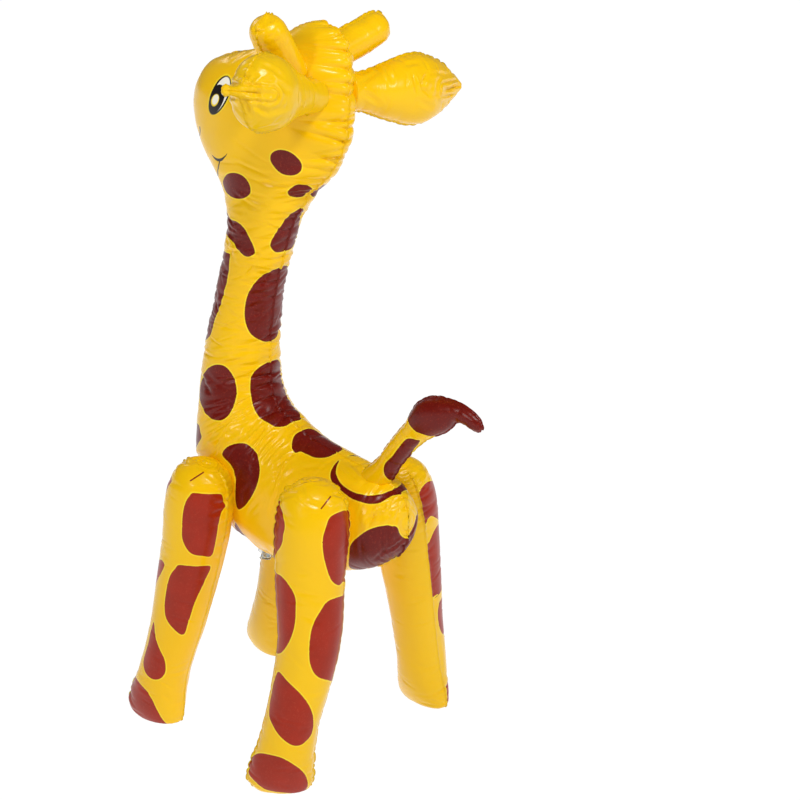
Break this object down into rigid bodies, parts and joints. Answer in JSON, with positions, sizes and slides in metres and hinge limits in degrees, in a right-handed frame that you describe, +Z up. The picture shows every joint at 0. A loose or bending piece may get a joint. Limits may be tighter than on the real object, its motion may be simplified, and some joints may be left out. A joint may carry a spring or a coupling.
{
  "type": "inflatable giraffe toy",
  "caption": "Standing inflatable giraffe of glossy yellow vinyl with brown spots, long neck, welded-on legs, ears and horns, an upturned tail and an air valve under the belly.",
  "frame": {"origin": "centre of the bounding box at floor level", "axes": "+Z up; the giraffe faces -Y and its left side is +X"},
  "size_m": [0.2768, 0.3146, 0.5985],
  "materials": {
    "printed_vinyl": "glossy yellow vinyl film printed with brown spots",
    "clear_vinyl": "clear soft vinyl"
  },
  "bodies": {
    "root": {"body_neck_and_head": "printed_vinyl", "leg_front_left": "printed_vinyl", "leg_front_right": "printed_vinyl", "leg_hind_left": "printed_vinyl", "leg_hind_right": "printed_vinyl", "ear_left": "printed_vinyl", "ear_right": "printed_vinyl", "horn_left": "printed_vinyl", "horn_right": "printed_vinyl", "tail": "printed_vinyl", "valve_flange_and_stem": "clear_vinyl", "valve_plug": "clear_vinyl"}
  },
  "joints": []
}
